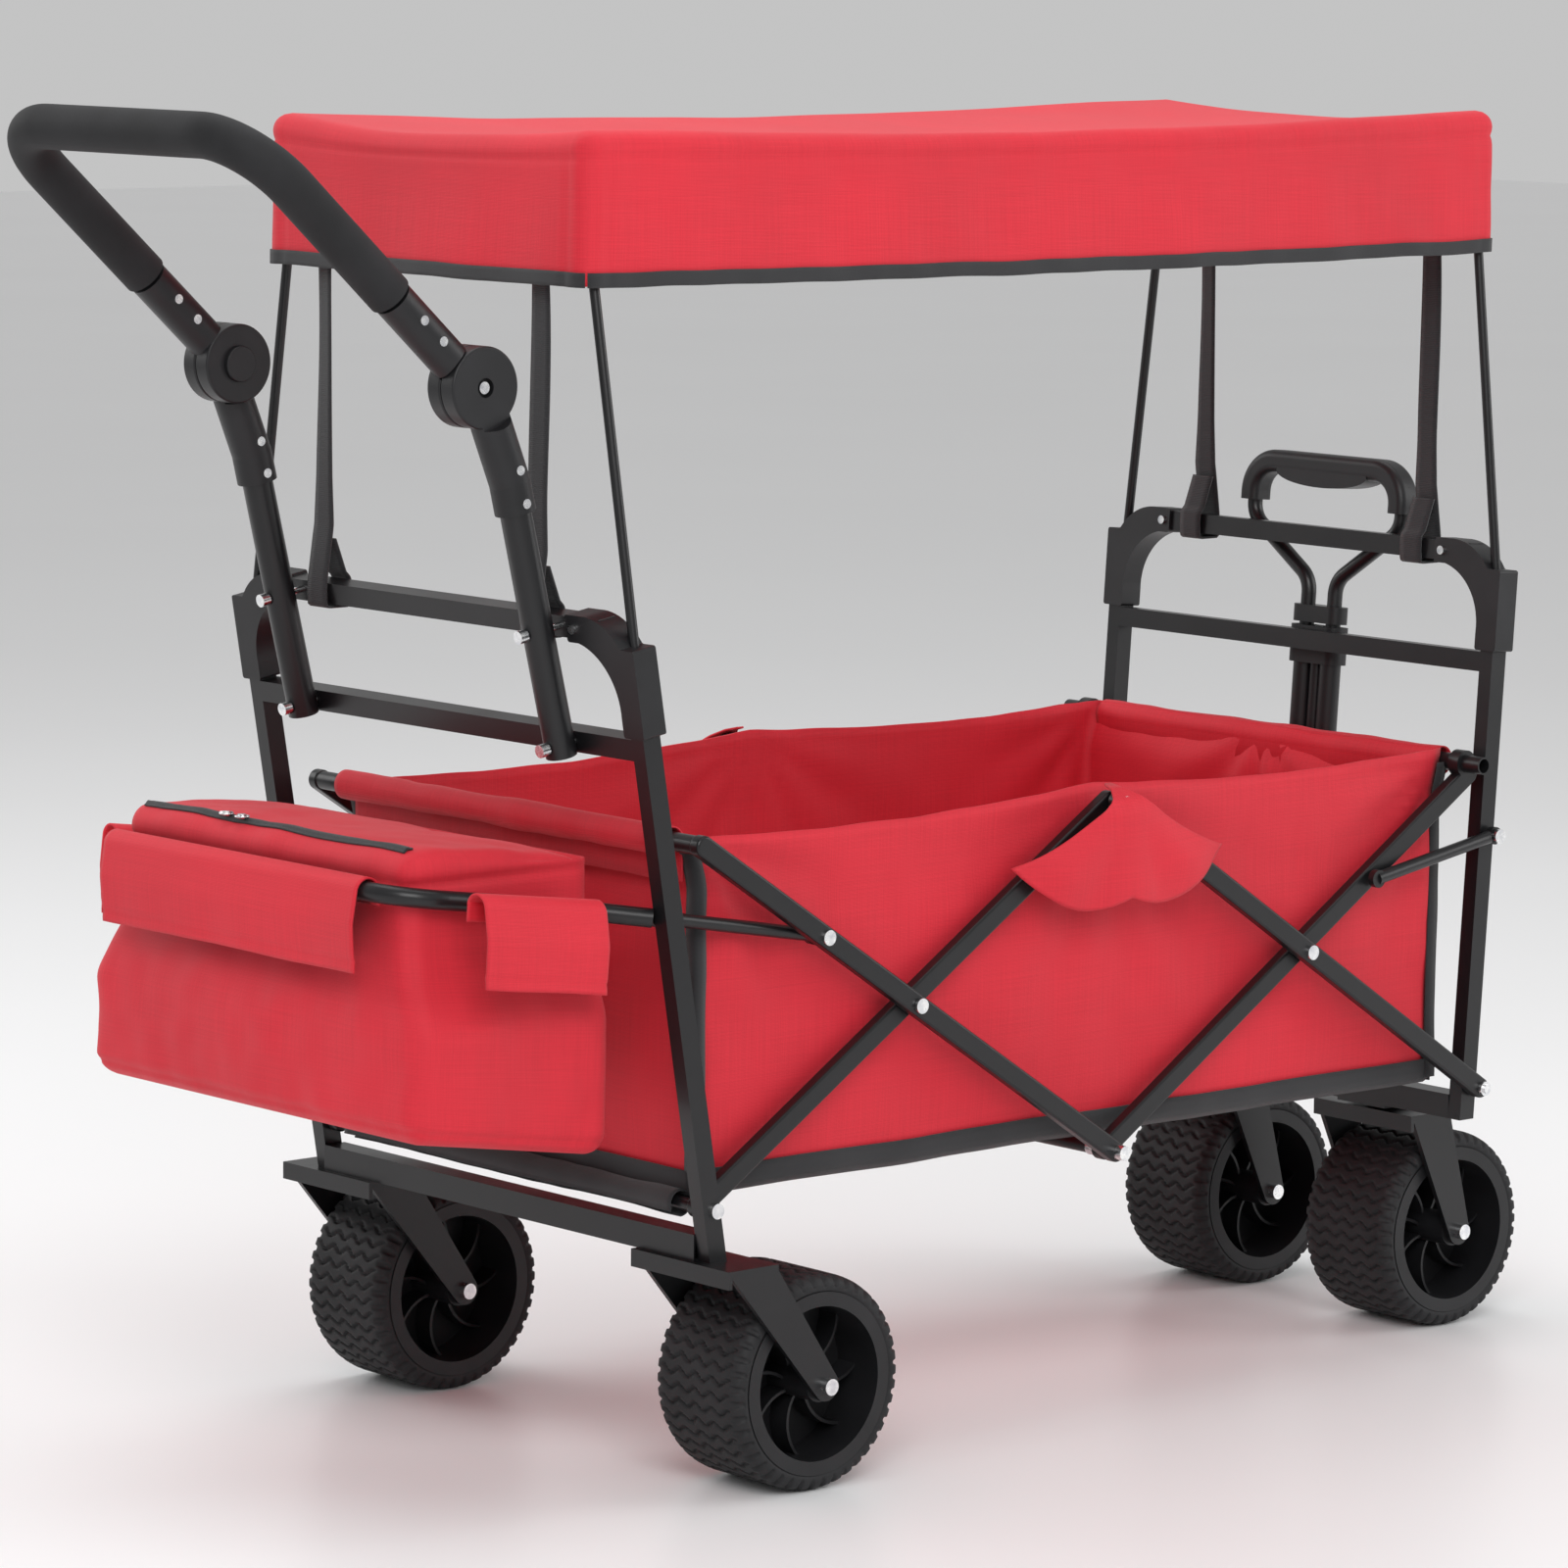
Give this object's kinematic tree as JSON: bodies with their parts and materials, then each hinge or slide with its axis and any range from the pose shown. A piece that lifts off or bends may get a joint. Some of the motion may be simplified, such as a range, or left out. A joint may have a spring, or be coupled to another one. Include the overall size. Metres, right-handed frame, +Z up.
{
  "type": "folding wagon with pull handle",
  "caption": "Folding wagon with a red fabric tub on black scissor sides, block tyres, canopy, zipped rear bag, push bow and telescopic pull handle.",
  "frame": {"origin": "on the floor under the middle of the overall box, wagon open, its wheels standing at z = 0", "axes": "+X forward towards the pull handle, +Y the wagon's left, +Z up"},
  "size_m": [1.4946, 0.616, 1.1412],
  "materials": {
    "powder_coat": "satin black powder coat",
    "zinc": "bright zinc plate",
    "black_plastic": "fine matt moulding",
    "tyre_black": "matt block tread",
    "foam": "closed-cell foam",
    "red_fabric": "oxford weave, slight sheen",
    "black_webbing": "woven webbing"
  },
  "bodies": {
    "rear_frame": {"rear_post_left": "powder_coat", "rear_post_right": "powder_coat", "rear_crossbars": "powder_coat", "rear_bottom_bar": "powder_coat", "rear_corner_brackets": "black_plastic", "rear_canopy_rods": "powder_coat", "rear_fork_left": "powder_coat", "rear_fork_right": "powder_coat", "rear_axles": "zinc", "bag_hoop": "powder_coat", "storage_bag": "red_fabric", "handle_tubes": "powder_coat", "lower_elbows": "black_plastic", "rear_frame_bolts": "zinc", "rear_straps": "black_webbing", "tub_liner": "red_fabric", "canopy_cover": "red_fabric"},
    "push_handle": {"push_bar": "powder_coat", "grip_foam": "foam", "upper_elbows": "black_plastic", "upper_elbow_screws": "zinc"},
    "button_left": {"hub_button_left": "black_plastic"},
    "button_right": {"hub_button_right": "black_plastic"},
    "rear_wheel_left": {"rear_tyre_left": "tyre_black", "rear_rim_left": "black_plastic"},
    "rear_wheel_right": {"rear_tyre_right": "tyre_black", "rear_rim_right": "black_plastic"},
    "rear_rising": {"rear_rising_arms": "powder_coat", "rear_floor_tube": "powder_coat", "rear_arm_rivets": "zinc"},
    "rear_falling": {"rear_falling_arms": "powder_coat", "rear_rail_tube": "powder_coat", "hub_bolts": "zinc", "centre_floor_tube": "powder_coat"},
    "front_rising": {"front_rising_arms": "powder_coat", "front_arm_rivets": "zinc"},
    "front_falling": {"front_falling_arms": "powder_coat", "front_rail_tube": "powder_coat"},
    "rear_strut_pair": {"rear_struts": "powder_coat"},
    "front_strut_pair": {"front_struts": "powder_coat"},
    "front_frame": {"front_post_left": "powder_coat", "front_post_right": "powder_coat", "front_crossbars": "powder_coat", "front_bottom_bar": "powder_coat", "front_corner_brackets": "black_plastic", "front_canopy_rods": "powder_coat", "front_straps": "black_webbing", "front_frame_bolts": "zinc"},
    "caster_left": {"caster_fork_left": "powder_coat", "caster_axle_left": "zinc"},
    "caster_right": {"caster_fork_right": "powder_coat", "caster_axle_right": "zinc"},
    "front_wheel_left": {"front_tyre_left": "tyre_black", "front_rim_left": "black_plastic"},
    "front_wheel_right": {"front_tyre_right": "tyre_black", "front_rim_right": "black_plastic"},
    "pull_outer": {"pull_outer_tubes": "powder_coat", "pull_collar": "black_plastic"},
    "pull_inner": {"pull_inner_tubes": "powder_coat", "pull_grip": "black_plastic"}
  },
  "joints": [
    {"name": "fold", "type": "hinge", "parent": "rear_frame", "child": "rear_rising", "pos_m": [-0.32366, 0, 0.243], "axis": [0, -1, 0], "range_deg": [0, 42], "deforming": ["tub_liner", "canopy_cover"]},
    {"name": "rear_cross_turn", "type": "hinge", "parent": "rear_rising", "child": "rear_falling", "pos_m": [-0.09766, 0, 0.38977], "axis": [0, -1, 0], "range_deg": [-84, 0]},
    {"name": "top_hub_turn", "type": "hinge", "parent": "rear_rising", "child": "front_rising", "pos_m": [0.13634, 0, 0.54173], "axis": [0, -1, 0], "range_deg": [-84, 0]},
    {"name": "front_cross_turn", "type": "hinge", "parent": "front_rising", "child": "front_falling", "pos_m": [0.37034, 0, 0.38977], "axis": [0, -1, 0], "range_deg": [0, 84]},
    {"name": "front_frame_turn", "type": "hinge", "parent": "front_rising", "child": "front_frame", "pos_m": [0.59634, 0, 0.243], "axis": [0, -1, 0], "range_deg": [0, 42]},
    {"name": "rear_strut_turn", "type": "hinge", "parent": "rear_frame", "child": "rear_strut_pair", "pos_m": [-0.36966, 0, 0.487], "axis": [0, -1, 0], "range_deg": [0, 74.8]},
    {"name": "front_strut_turn", "type": "hinge", "parent": "front_frame", "child": "front_strut_pair", "pos_m": [0.60934, 0, 0.473], "axis": [0, -1, 0], "range_deg": [-84.9, 0]},
    {"name": "rear_wheel_left_spin", "type": "hinge", "parent": "rear_frame", "child": "rear_wheel_left", "pos_m": [-0.23266, 0.239, 0.091], "axis": [0, 1, 0], "continuous": true},
    {"name": "caster_left_swivel", "type": "hinge", "parent": "front_frame", "child": "caster_left", "pos_m": [0.62234, 0.12, 0.201], "axis": [0, 0, 1], "continuous": true},
    {"name": "front_wheel_left_spin", "type": "hinge", "parent": "caster_left", "child": "front_wheel_left", "pos_m": [0.65634, 0.12, 0.091], "axis": [0, 1, 0], "continuous": true},
    {"name": "handle_button_left_press", "type": "slide", "parent": "push_handle", "child": "button_left", "axis": [0, 1, 0], "range_m": [0, 0.0035], "stiffness_N_per_m": 300},
    {"name": "rear_wheel_right_spin", "type": "hinge", "parent": "rear_frame", "child": "rear_wheel_right", "pos_m": [-0.23266, -0.239, 0.091], "axis": [0, 1, 0], "continuous": true},
    {"name": "caster_right_swivel", "type": "hinge", "parent": "front_frame", "child": "caster_right", "pos_m": [0.62234, -0.12, 0.201], "axis": [0, 0, 1], "continuous": true},
    {"name": "front_wheel_right_spin", "type": "hinge", "parent": "caster_right", "child": "front_wheel_right", "pos_m": [0.65634, -0.12, 0.091], "axis": [0, 1, 0], "continuous": true},
    {"name": "handle_button_right_press", "type": "slide", "parent": "push_handle", "child": "button_right", "axis": [0, -1, 0], "range_m": [0, 0.0035], "stiffness_N_per_m": 300},
    {"name": "push_handle_tilt", "type": "hinge", "parent": "rear_frame", "child": "push_handle", "pos_m": [-0.50366, 0, 0.92], "axis": [0, 1, 0], "range_deg": [-85, 40]},
    {"name": "pull_handle_swing", "type": "hinge", "parent": "front_frame", "child": "pull_outer", "pos_m": [0.61703, 0, 0.25721], "axis": [0, 1, 0], "range_deg": [0, 80]},
    {"name": "pull_handle_slide", "type": "slide", "parent": "pull_outer", "child": "pull_inner", "axis": [0.0698, 0, 0.9976], "range_m": [0, 0.28]}
  ],
  "couplings": [
    {"joint": "rear_cross_turn", "follows": "fold", "ratio": -2},
    {"joint": "top_hub_turn", "follows": "fold", "ratio": -2},
    {"joint": "front_cross_turn", "follows": "fold", "ratio": 2},
    {"joint": "front_frame_turn", "follows": "fold", "ratio": 1},
    {"joint": "rear_strut_turn", "follows": "fold", "ratio": 1.77},
    {"joint": "front_strut_turn", "follows": "fold", "ratio": -2.01}
  ]
}
